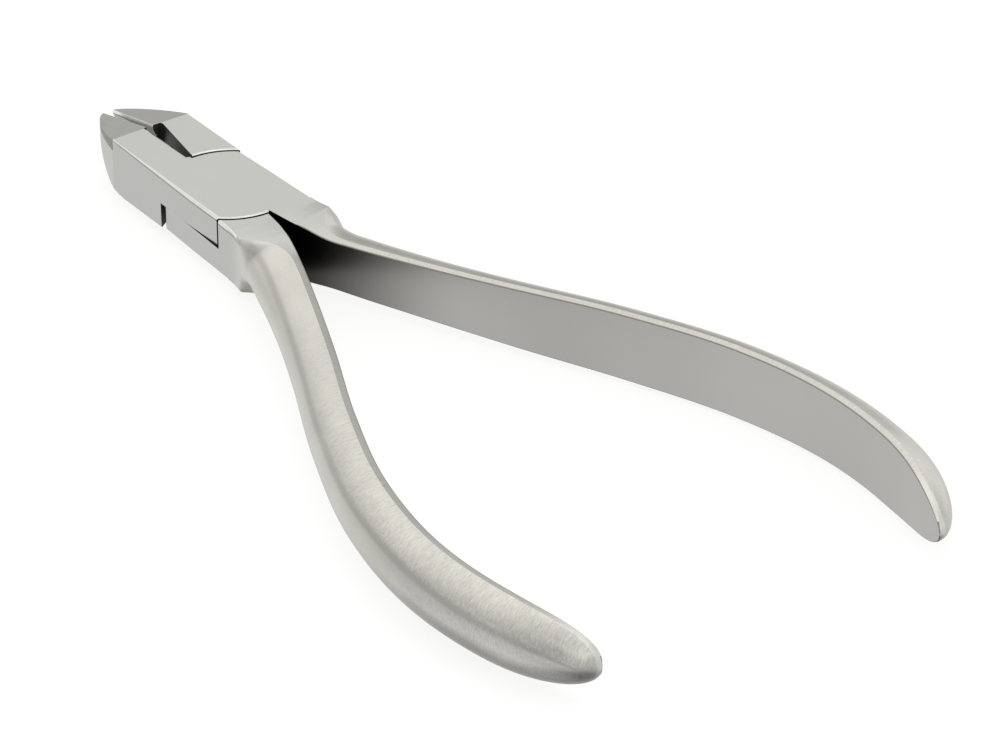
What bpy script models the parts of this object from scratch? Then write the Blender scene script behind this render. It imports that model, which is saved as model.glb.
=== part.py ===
# Side cutter for orthodontic wire: two flat forged halves in a lap joint, with carbide cutting
# inserts brazed to the jaws.
# The origin is where the pivot axis meets the flat underside of the joint. The jaws point along
# -X, the handles along +X, and the pivot axis is Z. Every shape is drawn with the jaws closed,
# and each half is then turned about the pivot by half of the opening at rest.

import math

import bmesh
import bpy
import numpy as np

# Driving dimensions, in millimetres and degrees

# The head, a flat bar that holds the joint and narrows a little both ways from the pivot
head_thickness = 6.9
head_half_width = 5.45
front_taper = 2.4
rear_taper = 1.2
chamfer_at_nose = 0.03
chamfer_at_pivot = 0.25
chamfer_at_root = 0.3

# The nose of the jaws, from the inserts' rear edge to the tip
nose_start = 16.5
nose_length = 8.9
nose_fullness = 1.15
nose_roundness = 0.66
nose_top_slope = 12.9
underside_rise_start = 13.2
underside_rise = 4.0
underside_curve = 1.8

# The carbide inserts and the cutting edges
insert_rear_thickness = 1.5
insert_seat_slope = 6.4
cutting_bevel_depth = 0.35
cutting_bevel_front = 0.08
cutting_bevel_rear = 0.5
cutting_flank_slope = 20.0
cutting_clearance = 0.02
braze_thickness = 0.08
braze_clearance = 0.02

# The lap joint: each half turns against arcs that are cut in the other
lap_radius = 7.7
lap_side_gap = 0.25
lap_drop = 0.2
lap_face_gap = 0.05
lower_lap_front_radius = 7.6
front_slot_width = 0.65
half_face_clearance = 0.06

# The cut-outs between the jaws, behind the inserts
upper_relief_start = 8.0
upper_relief_end = 11.4
upper_relief_depth = 0.5
upper_bevel_drop = 0.3
lower_relief_start = 8.6
lower_relief_depth = 1.25
lower_relief_corner = 0.5

# The pivot pin: its head is flush with the underside and its end is hidden in a blind bore
pin_radius = 2.6
pin_cover = 1.1
pin_head_radius = 3.4
pin_head_height = 1.3
pin_running_clearance = 0.05
pin_press_clearance = 0.02
pin_end_clearance = 0.1

# The handles, with a flat inner side, a rounded back, and above and below a narrow land that
# slopes a little towards the inner side
handle_reach = 101.3
lower_handle_shortfall = 1.0
upper_handle_spread = 0.5
spread_blend = 0.7
handle_land = 0.83
land_slope = 9.0
handle_end_rounding = 14.0
upper_end_bluntness = 2.0
lower_end_bluntness = 2.6
handle_roundness = 2.05
handle_shoulder_angle = 76.0
handle_ridge = 0.05

# Where the square head turns into the handle
root_overlap = 1.5
handle_blank_setback = 0.5
root_squareness = 14.0
root_corner = 0.3
root_side_end = 10.5
root_underside_end = 9.0
root_side_blend = 4.5
root_top_end = 13.0
root_top_blend = 5.0
root_land_end = 12.0
root_land_blend = 8.0
root_land_curve = 3

# How far open the jaws rest, as the whole angle between the halves
rest_opening = 2.56

# How far each handle bows out from the middle plane, where it stands furthest
handle_bow = 23.32

# Each row is a place along the handle, from 0 at the joint's arc to 1 at the handle's end, and
# the share of the bow, or the size, there
bow_shares = [
    (0.0, 0.0), (0.044, 0.021), (0.087, 0.06), (0.13, 0.122), (0.204, 0.241), (0.322, 0.444),
    (0.461, 0.697), (0.611, 0.913), (0.759, 1.0), (0.887, 0.95), (1.0, 0.819),
]
handle_depth = [
    (0.0, 5.5), (0.065, 5.55), (0.24, 4.9), (0.43, 4.85), (0.62, 4.85), (0.79, 4.8), (1.0, 4.45),
]
handle_height = [(0.0, 6.0), (0.2, 6.75), (0.44, 8.3), (0.62, 8.75), (0.76, 8.7), (1.0, 8.2)]

# Smoothness of the facets
arc_steps = 24
nose_steps = 18
corner_steps = 4
handle_stations = 58
station_crowding = 1.35
end_stations = 12
last_end_angle = 88
section_steps = 12
pin_sides = 48

# What follows from the sizes above
mm = 0.001
middle_level = head_thickness / 2
lap_level = middle_level - lap_drop
pin_length = head_thickness - pin_cover - pin_end_clearance
slot_radius = lower_lap_front_radius + front_slot_width
shoulder_radius = lap_radius + lap_side_gap
tip = nose_start + nose_length

# How far a cutter passes what it cuts
cut_reach = 3 * head_half_width
cut_ceiling = 2 * head_thickness
cut_over = 1.0
bevel_over = 3.0


def tangent(degrees):
    return math.tan(math.radians(degrees))


def smooth_step(value):
    t = min(max(value, 0.0), 1.0)
    return t * t * (3 - 2 * t)


def smooth_curve(rows):
    # A smooth function through rows of place and size
    places, sizes = np.array(rows, dtype=float).T
    slopes = np.gradient(sizes, places)

    def at(place):
        i = int(np.clip(np.searchsorted(places, place) - 1, 0, len(places) - 2))
        step = places[i + 1] - places[i]
        t = (place - places[i]) / step
        rise = sizes[i] * (1 + 2 * t) * (1 - t) ** 2 + sizes[i + 1] * t * t * (3 - 2 * t)
        lean = slopes[i] * t * (1 - t) ** 2 - slopes[i + 1] * t * t * (1 - t)
        return rise + step * lean

    return at


bow_share_at = smooth_curve(bow_shares)
depth_at = smooth_curve(handle_depth)
height_at = smooth_curve(handle_height)


def half_width(x):
    taper = tangent(front_taper) * min(x, 0.0) + tangent(rear_taper) * max(x, 0.0)
    return head_half_width + taper


def nose_half_width(x):
    along = min(max((-x - nose_start) / nose_length, 0.0), 1.0)
    return half_width(-nose_start) * (1 - along ** nose_fullness) ** nose_roundness


def nose_top(x):
    return head_thickness - tangent(nose_top_slope) * (-x - nose_start)


def seat_level(x):
    rear = head_thickness - insert_rear_thickness
    return rear - tangent(insert_seat_slope) * (-x - nose_start)


def nose_outline(rear):
    # From the rear, round the nose's outer side, to just before the tip
    points = []
    for i in range(nose_steps):
        reach = nose_length * math.sin(math.radians(90 * i / nose_steps))
        x = -nose_start - reach
        points.append((x, -nose_half_width(x)))
    points[0] = (-rear, -nose_half_width(-rear))
    return points


def arc(radius, start, end):
    angles = np.radians(np.linspace(start, end, arc_steps + 1))
    return [(radius * math.cos(a), radius * math.sin(a)) for a in angles]


def side_angle(radius, rear):
    # The angle at which a circle about the pivot meets the head's side
    x = 0.0
    for _ in range(8):
        x = math.sqrt(radius ** 2 - half_width(x if rear else -x) ** 2)
    return math.degrees(math.acos(x / radius))


def make_object(name, bm, pose, cutter):
    bmesh.ops.recalc_face_normals(bm, faces=bm.faces)
    mesh = bpy.data.meshes.new(name)
    bm.to_mesh(mesh)
    bm.free()
    thing = bpy.data.objects.new(name, mesh)
    bpy.context.collection.objects.link(thing)
    thing.parent = pose
    if cutter:
        thing.hide_render = True
        thing.display_type = "WIRE"
    return thing


def loft(bm, sections):
    # Rings of points in millimetres, joined in turn and closed at both ends
    rings = []
    for section in sections:
        rings.append([bm.verts.new((x * mm, y * mm, z * mm)) for x, y, z in section])
    for first, second in zip(rings, rings[1:]):
        for i in range(len(first)):
            j = (i + 1) % len(first)
            bm.faces.new((first[i], first[j], second[j], second[i]))
    bm.faces.new(rings[0])
    bm.faces.new(rings[-1])


def prism(name, outline, low, high, pose, mirror, cutter=True):
    # A plan outline raised from one level to another
    bm = bmesh.new()
    loft(bm, [[(x, mirror * y, level) for x, y in outline] for level in (low, high)])
    return make_object(name, bm, pose, cutter)


def side_profile(name, outline, pose):
    # An outline in the X and Z directions, carried right across the head
    bm = bmesh.new()
    loft(bm, [[(x, y, z) for x, z in outline] for y in (-cut_reach, cut_reach)])
    return make_object(name, bm, pose, True)


def wedge(name, sections, pose, mirror):
    # A solid between two sections of Y and Z points that face along X
    bm = bmesh.new()
    loft(bm, [[(x, mirror * y, z) for y, z in section] for x, section in sections])
    return make_object(name, bm, pose, True)


def turned(name, profile, pose, cutter=True):
    # A solid of revolution about the pivot axis, from radius and level pairs
    bm = bmesh.new()
    angles = [2 * math.pi * i / pin_sides for i in range(pin_sides)]
    loft(bm, [[(r * math.cos(a), r * math.sin(a), level) for a in angles] for r, level in profile])
    return make_object(name, bm, pose, cutter)


def combine(target, tool, operation):
    modifier = target.modifiers.new(tool.name, "BOOLEAN")
    modifier.operation = operation
    modifier.object = tool
    modifier.solver = "EXACT"


def reach_of(upper):
    return handle_reach if upper else handle_reach - lower_handle_shortfall


def inner_edge(x, upper):
    # How far the handle's flat inner side stands from the middle plane
    place = (x - lap_radius) / (reach_of(upper) - lap_radius)
    spread = upper_handle_spread / 2 if upper else -upper_handle_spread / 2
    bow = handle_bow * bow_share_at(place)
    return half_face_clearance + bow + spread * smooth_step(place / spread_blend)


def handle_section(x, upper):
    # Points of one section, from the lower inner edge round the back to the upper inner edge
    reach = reach_of(upper)
    place = (x - lap_radius) / (reach - lap_radius)
    side_blend = smooth_step((x - root_side_end) / root_side_blend)
    under_blend = smooth_step((x - root_underside_end) / root_side_blend)
    top_blend = smooth_step((x - root_top_end) / root_top_blend)
    land_left = 1 - min(max((x - root_land_end) / root_land_blend, 0.0), 1.0)
    land_blend = 1 - land_left ** root_land_curve
    lean = smooth_step((x - lap_radius) / root_side_blend)
    end_share = max((x - reach + handle_end_rounding) / handle_end_rounding, 0.0)
    bluntness = upper_end_bluntness if upper else lower_end_bluntness
    end_scale = (1 - end_share ** bluntness) ** (1 / bluntness)
    root_depth = half_width(x) - inner_edge(x, upper)
    depth = root_depth * (1 - lean) + depth_at(place) * lean
    land = (depth - root_corner) * (1 - land_blend) + handle_land * land_blend
    height = head_thickness * (1 - top_blend) + height_at(place) * top_blend
    inner_up = 1 - top_blend * land * tangent(land_slope) / (height / 2)
    step = 0.01
    slope = lean * (inner_edge(x + step, upper) - inner_edge(x - step, upper)) / (2 * step)
    across_x = -slope / math.hypot(1, slope)
    across_y = 1 / math.hypot(1, slope)
    profile = [(0.0, -inner_up)]
    for i in range(-section_steps, section_steps + 1):
        blend = side_blend if i > 0 else under_blend
        power = 2 / (root_squareness * (1 - blend) + handle_roundness * blend)
        least = math.cos(math.radians(handle_shoulder_angle)) ** power
        most = math.sin(math.radians(handle_shoulder_angle)) ** power
        angle = math.radians(handle_shoulder_angle * i / section_steps)
        up = math.copysign(abs(math.sin(angle)) ** power / most, angle)
        back = (math.cos(angle) ** power - least) / (1 - least)
        back -= handle_ridge * blend * abs(up) * (1 - abs(up))
        profile.append((land + (depth - land) * back, up))
    profile.append((0.0, inner_up))
    points = []
    for out, up in profile:
        across = out * end_scale
        level = middle_level + up * end_scale * height / 2
        points.append((x + across_x * across, inner_edge(x, upper) + across_y * across, level))
    return points


def handle_blank(name, upper, pose, mirror):
    start = lap_radius + handle_blank_setback
    reach = reach_of(upper)
    end_start = reach - handle_end_rounding
    stations = []
    for i in range(handle_stations):
        stations.append(start + (end_start - start) * (i / handle_stations) ** station_crowding)
    for i in range(end_stations):
        angle = math.radians(last_end_angle * i / (end_stations - 1))
        stations.append(end_start + handle_end_rounding * math.sin(angle))
    bm = bmesh.new()
    sections = []
    for x in stations:
        sections.append([(px, mirror * py, pz) for px, py, pz in handle_section(x, upper)])
    loft(bm, sections)
    return make_object(name, bm, pose, True)


def lower_relief_bend():
    # The rounded inner corner of the cut-out, where its slanting side meets the insert's rear
    slope = lower_relief_depth / (nose_start - lower_relief_start)
    first = (-nose_start + lower_relief_corner, -lower_relief_depth + slope * lower_relief_corner)
    corner = (-nose_start, -lower_relief_depth)
    last = (-nose_start, -lower_relief_depth + lower_relief_corner)
    points = []
    for i in range(corner_steps + 1):
        t = i / corner_steps
        points.append(tuple(
            (1 - t) ** 2 * a + 2 * t * (1 - t) * b + t * t * c
            for a, b, c in zip(first, corner, last)
        ))
    return points


def head_outline(upper):
    # The head's plan, from the tip round to the tip
    front_radius = lap_radius if upper else lower_lap_front_radius
    jaw_side = [(-tip, -cutting_clearance)] + nose_outline(nose_start)[::-1] + [(0.0, -half_width(0.0))]
    rear_end = math.degrees(half_face_clearance / lap_radius)
    shoulder = arc(lap_radius, -side_angle(lap_radius, True), rear_end)
    root_x = lap_radius + root_overlap
    root = [(root_x, inner_edge(root_x, upper)), (root_x, half_width(root_x)), (0.0, half_width(0.0))]
    front_end = 180 - math.degrees(half_face_clearance / front_radius)
    front = arc(front_radius, 180 - side_angle(front_radius, False), front_end)
    if upper:
        relief = [
            (-upper_relief_start, -upper_relief_depth),
            (-upper_relief_end, -upper_relief_depth),
            (-upper_relief_end, -half_face_clearance),
        ]
    else:
        relief = [(-lower_relief_start, -half_face_clearance)] + lower_relief_bend()
    relief.append((-nose_start, -half_face_clearance))
    return jaw_side + shoulder + root + front + relief


def lap_cutter(name, front_radius, low, high, pose, mirror):
    # The space that the other half's lap turns in
    outline = [(-front_radius, cut_reach), (0.0, cut_reach)]
    outline += arc(shoulder_radius, 90, 0)
    outline += [(shoulder_radius, -cut_reach), (0.0, -cut_reach)]
    outline += arc(front_radius, 270, 180)
    return prism(name, outline, low, high, pose, mirror)


def flank_cutter(name, pose, mirror):
    # What is ground off below the cutting edge, from the jaw, the braze and the insert alike
    sections = []
    for x in (-nose_start, -tip - cut_over):
        edge = nose_top(x) - cutting_bevel_depth
        lean = tangent(cutting_flank_slope) * (edge + cut_over)
        sections.append((x, [
            (-cutting_clearance, edge),
            (cut_over, edge),
            (cut_over, -cut_over),
            (-cutting_clearance - lean, -cut_over),
        ]))
    return wedge(name, sections, pose, mirror)


def bevel_cutter(name, pose, mirror):
    # The narrow bevel along the top of the cutting edge, wider towards the rear
    sections = []
    for x, width in ((-nose_start + cut_over, cutting_bevel_rear), (-tip, cutting_bevel_front)):
        edge = nose_top(x) - cutting_bevel_depth
        out = width * (1 + bevel_over / cutting_bevel_depth)
        sections.append((x, [
            (-cutting_clearance, edge),
            (-out, edge + cutting_bevel_depth + bevel_over),
            (cut_over, edge + cutting_bevel_depth + bevel_over),
            (cut_over, edge),
        ]))
    return wedge(name, sections, pose, mirror)


def seat_layer(name, rear, low_lift, high, pose, mirror):
    # A wedge with the nose's outline that starts at a lift above the insert's seat
    outline = nose_outline(rear) + [(-tip, -cutting_clearance), (-rear, -cutting_clearance)]
    layer = prism(name, outline, 0.0, head_thickness, pose, mirror, cutter=False)
    front = -tip - cut_over
    below = side_profile(name + "_bottom_cut", [
        (cut_over, seat_level(cut_over) + low_lift),
        (cut_over, -cut_over),
        (front, -cut_over),
        (front, seat_level(front) + low_lift),
    ], pose)
    combine(layer, below, "DIFFERENCE")
    above = side_profile(name + "_top_cut", [
        (cut_over, high(cut_over)),
        (cut_over, cut_ceiling),
        (front, cut_ceiling),
        (front, high(front)),
    ], pose)
    combine(layer, above, "DIFFERENCE")
    combine(layer, flank_cutter(name + "_flank_cut", pose, mirror), "DIFFERENCE")
    return layer


def cutting_insert(name, pose, mirror):
    lift = braze_thickness + 2 * braze_clearance
    insert = seat_layer(name, nose_start + braze_clearance, lift, nose_top, pose, mirror)
    combine(insert, bevel_cutter(name + "_bevel_cut", pose, mirror), "DIFFERENCE")
    return insert


def braze_layer(name, pose, mirror):
    rear = nose_start + 2 * braze_clearance

    def top(x):
        return seat_level(x) + braze_clearance + braze_thickness

    return seat_layer(name, rear, braze_clearance, top, pose, mirror)


def chamfer_head(half, pose, mirror):
    # The long edges of the head, broken a little more towards the joint than at the nose
    root_x = lap_radius + root_overlap
    widths = [(-nose_start, chamfer_at_nose), (0.0, chamfer_at_pivot), (root_x, chamfer_at_root)]
    for side in (-1, 1):
        for level, up in ((0.0, -1), (head_thickness, 1)):
            sections = []
            for x, width in widths:
                edge = side * half_width(x)
                out = edge + side * cut_over
                sections.append((x, [
                    (edge - side * width, level),
                    (edge, level - up * width),
                    (out, level - up * width),
                    (out, level + up * cut_over),
                    (edge - side * width, level + up * cut_over),
                ]))
            cutter = wedge("%s_chamfer_%d_%d" % (half.name, side, up), sections, pose, mirror)
            combine(half, cutter, "DIFFERENCE")


def cut_jaw(half, upper, pose, mirror):
    front = -tip - cut_over
    seat = side_profile(half.name + "_seat_cut", [
        (-nose_start, seat_level(-nose_start)),
        (-nose_start, head_thickness + cut_over),
        (front, head_thickness + cut_over),
        (front, seat_level(front)),
    ], pose)
    combine(half, seat, "DIFFERENCE")
    curve = []
    for i in range(nose_steps + 1):
        share = i / nose_steps
        x = -underside_rise_start - (tip - underside_rise_start) * share
        curve.append((x, underside_rise * share ** underside_curve))
    outline = [(-underside_rise_start, -cut_over)] + curve + [(front, underside_rise), (front, -cut_over)]
    combine(half, side_profile(half.name + "_underside_cut", outline, pose), "DIFFERENCE")
    combine(half, flank_cutter(half.name + "_flank_cut", pose, mirror), "DIFFERENCE")
    if upper:
        # The bevel on the upper jaw's inner top edge, between its insert and its cut-out
        lean = (upper_relief_depth - half_face_clearance) / upper_bevel_drop
        out = upper_relief_depth + lean * cut_over
        section = [
            (-half_face_clearance, head_thickness - upper_bevel_drop),
            (-out, head_thickness + cut_over),
            (cut_over, head_thickness + cut_over),
            (cut_over, head_thickness - upper_bevel_drop),
        ]
        ends = [(-upper_relief_end, section), (-nose_start - cut_over, section)]
        combine(half, wedge(half.name + "_bevel_cut", ends, pose, mirror), "DIFFERENCE")


def build_half(name, upper, pose, mirror):
    half = prism(name, head_outline(upper), 0.0, head_thickness, pose, mirror, cutter=False)
    chamfer_head(half, pose, mirror)
    combine(half, handle_blank(name + "_handle", upper, pose, mirror), "UNION")
    if upper:
        front_radius, low, high = slot_radius, -cut_reach, lap_level + lap_face_gap / 2
    else:
        front_radius, low, high = shoulder_radius, lap_level - lap_face_gap / 2, cut_reach
    combine(half, lap_cutter(name + "_lap_cut", front_radius, low, high, pose, mirror), "DIFFERENCE")
    cut_jaw(half, upper, pose, mirror)
    return half


def bore_halves(upper_half, lower_half, pose):
    blind_radius = pin_radius + pin_press_clearance
    blind_top = pin_length + pin_end_clearance
    blind = turned("blind_bore", [(blind_radius, 0.0), (blind_radius, blind_top)], pose)
    combine(upper_half, blind, "DIFFERENCE")
    bore = pin_radius + pin_running_clearance
    sink = pin_head_radius + pin_running_clearance
    floor = pin_head_height + pin_running_clearance
    profile = [(sink, -cut_over), (sink, floor), (bore, floor), (bore, head_thickness)]
    combine(lower_half, turned("through_bore", profile, pose), "DIFFERENCE")


def pivot_pin(name, pose):
    profile = [
        (pin_head_radius, 0.0),
        (pin_head_radius, pin_head_height),
        (pin_radius, pin_head_height),
        (pin_radius, pin_length),
    ]
    return turned(name, profile, pose, cutter=False)


def finish(thing, colour, roughness):
    made = bpy.data.materials.new(thing.name + "_metal")
    made.use_nodes = True
    shader = made.node_tree.nodes["Principled BSDF"]
    shader.inputs["Base Color"].default_value = (*colour, 1.0)
    shader.inputs["Roughness"].default_value = roughness
    shader.inputs["Metallic"].default_value = 1.0
    thing.data.materials.append(made)
    thing.data.shade_smooth()
    thing.data.set_sharp_from_angle(angle=math.radians(12))


def pose_empty(name, turn):
    pose = bpy.data.objects.new(name, None)
    pose.rotation_euler.z = math.radians(turn)
    bpy.context.collection.objects.link(pose)
    return pose


def main():
    for thing in list(bpy.data.objects):
        bpy.data.objects.remove(thing)
    upper_pose = pose_empty("upper_pose", rest_opening / 2)
    lower_pose = pose_empty("lower_pose", -rest_opening / 2)
    upper_half = build_half("upper_half", True, upper_pose, 1)
    lower_half = build_half("lower_half", False, lower_pose, -1)
    bore_halves(upper_half, lower_half, upper_pose)
    finish(upper_half, (0.62, 0.61, 0.59), 0.32)
    finish(lower_half, (0.60, 0.59, 0.57), 0.32)
    for side, pose, mirror in (("upper", upper_pose, 1), ("lower", lower_pose, -1)):
        finish(cutting_insert(side + "_insert", pose, mirror), (0.38, 0.38, 0.37), 0.4)
        finish(braze_layer(side + "_braze", pose, mirror), (0.62, 0.58, 0.46), 0.35)
    finish(pivot_pin("pivot_pin", upper_pose), (0.55, 0.55, 0.54), 0.28)


main()
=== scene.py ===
import math

import bmesh
import bpy
import numpy as np
from mathutils import Matrix, Vector


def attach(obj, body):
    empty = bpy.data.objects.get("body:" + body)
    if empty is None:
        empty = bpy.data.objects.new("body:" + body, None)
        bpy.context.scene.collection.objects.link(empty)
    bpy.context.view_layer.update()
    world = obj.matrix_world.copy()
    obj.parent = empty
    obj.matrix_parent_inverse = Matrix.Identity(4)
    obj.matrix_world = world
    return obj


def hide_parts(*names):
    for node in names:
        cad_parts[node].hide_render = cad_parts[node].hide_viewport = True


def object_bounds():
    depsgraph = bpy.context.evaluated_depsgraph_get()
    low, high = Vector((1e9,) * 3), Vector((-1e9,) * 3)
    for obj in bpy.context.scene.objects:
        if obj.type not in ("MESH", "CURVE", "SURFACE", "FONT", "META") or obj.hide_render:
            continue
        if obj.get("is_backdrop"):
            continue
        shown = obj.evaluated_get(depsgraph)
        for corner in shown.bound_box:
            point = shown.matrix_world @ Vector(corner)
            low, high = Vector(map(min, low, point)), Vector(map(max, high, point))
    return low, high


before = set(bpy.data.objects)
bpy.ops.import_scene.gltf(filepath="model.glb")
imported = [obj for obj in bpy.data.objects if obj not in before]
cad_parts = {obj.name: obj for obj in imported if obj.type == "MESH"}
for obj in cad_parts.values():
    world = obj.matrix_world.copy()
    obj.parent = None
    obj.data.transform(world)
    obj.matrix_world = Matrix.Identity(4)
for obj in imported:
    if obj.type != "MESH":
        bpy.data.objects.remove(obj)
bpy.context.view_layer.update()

print("stage: frame loaded,", len(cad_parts), "nodes")

# Lengths are in millimetres and angles in degrees, but where the camera and the floor stand is in
# metres. Each half is drawn with the jaws closed and its jaw on the -Y side, and is then mirrored
# where needed and turned to where it rests.

mm = 0.001

# how finely the curves are drawn and the places on the handles are worked out
fineness = {
    "arc": 56, "nose": 56, "corner": 10, "stations": 210, "crowding": 1.25,
    "end": 44, "endAngle": 88.8, "section": 26, "edge": 5,
    "rows": 1200, "rounds": 14, "arcRounds": 8, "slopeStep": 0.01, "pointGap": 0.0005, "sharpAngle": 14,
}

# sizes that several pieces share

head = {
    "thickness": 6.9, "halfWidth": 5.45, "frontTaper": 2.4, "rearTaper": 1.2,
    "chamferNose": 0.06, "chamferPivot": 0.29, "chamferRoot": 0.34,
}

nose = {
    "start": 16.5, "length": 8.9, "fullness": 1.15, "roundness": 0.66, "topSlope": 12.9,
    "riseStart": 13.2, "rise": 4.0, "riseCurve": 1.8,
}

cutting = {
    "rearThickness": 1.5, "seatSlope": 6.4, "bevelDepth": 0.35, "bevelFront": 0.08, "bevelRear": 0.5,
    "flankSlope": 20.0, "edgeGap": 0.02, "braze": 0.08, "brazeGap": 0.02,
}

lap = {
    "radius": 7.7, "sideGap": 0.25, "drop": 0.2, "faceGap": 0.05, "lowerFront": 7.6, "slotWidth": 0.65,
    "halfGap": 0.06, "restOpening": 2.56,
}

middleLevel = head["thickness"] / 2
lapLevel = middleLevel - lap["drop"]
slotRadius = lap["lowerFront"] + lap["slotWidth"]
shoulderRadius = lap["radius"] + lap["sideGap"]
tip = nose["start"] + nose["length"]

# how far a cutter passes what it cuts
cutOver = 1.0
rimOver = 0.6
cutReach = 3 * head["halfWidth"]


def tangent(degrees):
    return math.tan(math.radians(degrees))


def smoothStep(value):
    t = np.clip(value, 0.0, 1.0)
    return t * t * (3 - 2 * t)


def smoothCurve(rows):
    # a smooth function through rows of place and size
    places, sizes = np.array(rows, dtype=float).T
    slopes = np.gradient(sizes, places)

    def at(place):
        i = int(np.clip(np.searchsorted(places, place) - 1, 0, len(places) - 2))
        step = places[i + 1] - places[i]
        t = (place - places[i]) / step
        rise = sizes[i] * (1 + 2 * t) * (1 - t) ** 2 + sizes[i + 1] * t * t * (3 - 2 * t)
        lean = slopes[i] * t * (1 - t) ** 2 - slopes[i + 1] * t * t * (1 - t)
        return rise + step * lean

    return at


def halfWidth(x):
    taper = tangent(head["frontTaper"]) * min(x, 0.0) + tangent(head["rearTaper"]) * max(x, 0.0)
    return head["halfWidth"] + taper


def noseHalfWidth(x):
    along = min(max((-x - nose["start"]) / nose["length"], 0.0), 1.0)
    return halfWidth(-nose["start"]) * (1 - along ** nose["fullness"]) ** nose["roundness"]


def noseTop(x):
    return head["thickness"] - tangent(nose["topSlope"]) * (-x - nose["start"])


def seatLevel(x):
    rear = head["thickness"] - cutting["rearThickness"]
    return rear - tangent(cutting["seatSlope"]) * (-x - nose["start"])


def noseOutline(rear):
    # from the rear, round the nose's outer side, to just before the tip
    points = []
    for i in range(fineness["nose"]):
        x = -nose["start"] - nose["length"] * math.sin(math.radians(90 * i / fineness["nose"]))
        points.append((x, -noseHalfWidth(x)))
    points[0] = (-rear, -noseHalfWidth(-rear))
    return points


def arc(radius, start, end):
    angles = np.radians(np.linspace(start, end, fineness["arc"] + 1))
    return [(radius * math.cos(a), radius * math.sin(a)) for a in angles]


def sideAngle(radius, rear):
    # the angle at which a circle about the pivot meets the head's side
    x = 0.0
    for _ in range(fineness["arcRounds"]):
        x = math.sqrt(radius ** 2 - halfWidth(x if rear else -x) ** 2)
    return math.degrees(math.acos(x / radius))


def curvedCorner(before, corner, after, size, steps):
    # points round a corner that is cut back by a size along both of its sides
    first = np.array(before, dtype=float) - corner
    last = np.array(after, dtype=float) - corner
    first = corner + first / np.linalg.norm(first) * size
    last = corner + last / np.linalg.norm(last) * size
    return [
        tuple((1 - t) ** 2 * first + 2 * t * (1 - t) * np.array(corner) + t * t * last)
        for t in np.linspace(0, 1, steps + 1)
    ]


def addMesh(name, bm):
    bmesh.ops.recalc_face_normals(bm, faces=bm.faces)
    mesh = bpy.data.meshes.new(name)
    bm.to_mesh(mesh)
    bm.free()
    thing = bpy.data.objects.new(name, mesh)
    bpy.context.collection.objects.link(thing)
    return thing


def loft(name, sections, mirror):
    # rings of points joined in turn and closed at both ends
    bm = bmesh.new()
    rings = []
    for section in sections:
        rings.append([bm.verts.new((x * mm, mirror * y * mm, z * mm)) for x, y, z in section])
    for first, second in zip(rings, rings[1:]):
        for i in range(len(first)):
            j = (i + 1) % len(first)
            bm.faces.new((first[i], first[j], second[j], second[i]))
    bm.faces.new(rings[0])
    bm.faces.new(rings[-1])
    return addMesh(name, bm)


def prism(name, outline, low, high, mirror):
    # a plan outline raised from one level to another
    return loft(name, [[(x, y, level) for x, y in outline] for level in (low, high)], mirror)


def sideProfile(outline):
    # an outline in X and Z, carried right across the head
    return loft("cutter", [[(x, y, z) for x, z in outline] for y in (-cutReach, cutReach)], 1)


def wedge(sections, mirror):
    # a solid between sections of Y and Z points that face along X
    return loft("cutter", [[(x, y, z) for y, z in section] for x, section in sections], mirror)


def turned(profile):
    # a solid of revolution about the pivot, from radius and level pairs
    return loft("cutter", [[(x, y, level) for x, y in arc(r, 0, 360)[:-1]] for r, level in profile], 1)


def carve(thing, tools, operation="DIFFERENCE"):
    # the tools are cut from the thing, or joined to it, and are gone
    for tool in tools:
        modifier = thing.modifiers.new("carve", "BOOLEAN")
        modifier.operation = operation
        modifier.object = tool
        modifier.solver = "EXACT"
    bpy.context.view_layer.update()
    shape = bpy.data.meshes.new_from_object(thing.evaluated_get(bpy.context.evaluated_depsgraph_get()))
    thing.modifiers.clear()
    thing.data = shape
    for tool in tools:
        bpy.data.objects.remove(tool)


def joinPoints(thing):
    # the cuts leave some points almost on each other: these become one, and the faces triangles
    bm = bmesh.new()
    bm.from_mesh(thing.data)
    bmesh.ops.remove_doubles(bm, verts=bm.verts, dist=fineness["pointGap"] * mm)
    bmesh.ops.dissolve_degenerate(bm, dist=fineness["pointGap"] * mm, edges=bm.edges)
    bmesh.ops.triangulate(bm, faces=bm.faces)
    bm.to_mesh(thing.data)
    bm.free()


# the handles

handle = {
    "reach": 101.28, "lowerShortfall": 1.0, "bow": 23.315, "spread": 0.5, "spreadBlend": 0.7,
    "land": 0.83, "landSlope": 9.0, "edge": 0.14, "leastEdge": 0.0042,
    "endRounding": 14.0, "upperBluntness": 2.0, "lowerBluntness": 2.6,
    "roundness": 2.05, "shoulderAngle": 76.0, "ridge": 0.05,
}

# a place along the handle, from 0 at the joint's arc to 1 at the end, and the share or size there
handleShape = {
    "bow": [
        (0.0, 0.0), (0.044, 0.021), (0.087, 0.06), (0.13, 0.122), (0.204, 0.241), (0.322, 0.444),
        (0.461, 0.697), (0.611, 0.913), (0.759, 1.0), (0.887, 0.95), (1.0, 0.819),
    ],
    "depth": [
        (0.0, 5.5), (0.065, 5.55), (0.24, 4.9), (0.43, 4.85), (0.62, 4.85), (0.79, 4.8), (1.0, 4.45),
    ],
    "height": [(0.0, 6.0), (0.2, 6.75), (0.44, 8.3), (0.62, 8.75), (0.76, 8.7), (1.0, 8.2)],
}

# where the square head ends and how long it takes to become the handle
root = {
    "overlap": 1.5, "setback": 0.5, "squareness": 14.0, "corner": 0.3,
    "sideEnd": 10.5, "undersideEnd": 9.0, "sideBlend": 4.5, "topEnd": 13.0, "topBlend": 5.0,
    "landEnd": 12.0, "landBlend": 8.0, "landCurve": 3,
}

bowAt = smoothCurve(handleShape["bow"])
depthAt = smoothCurve(handleShape["depth"])
heightAt = smoothCurve(handleShape["height"])


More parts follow.
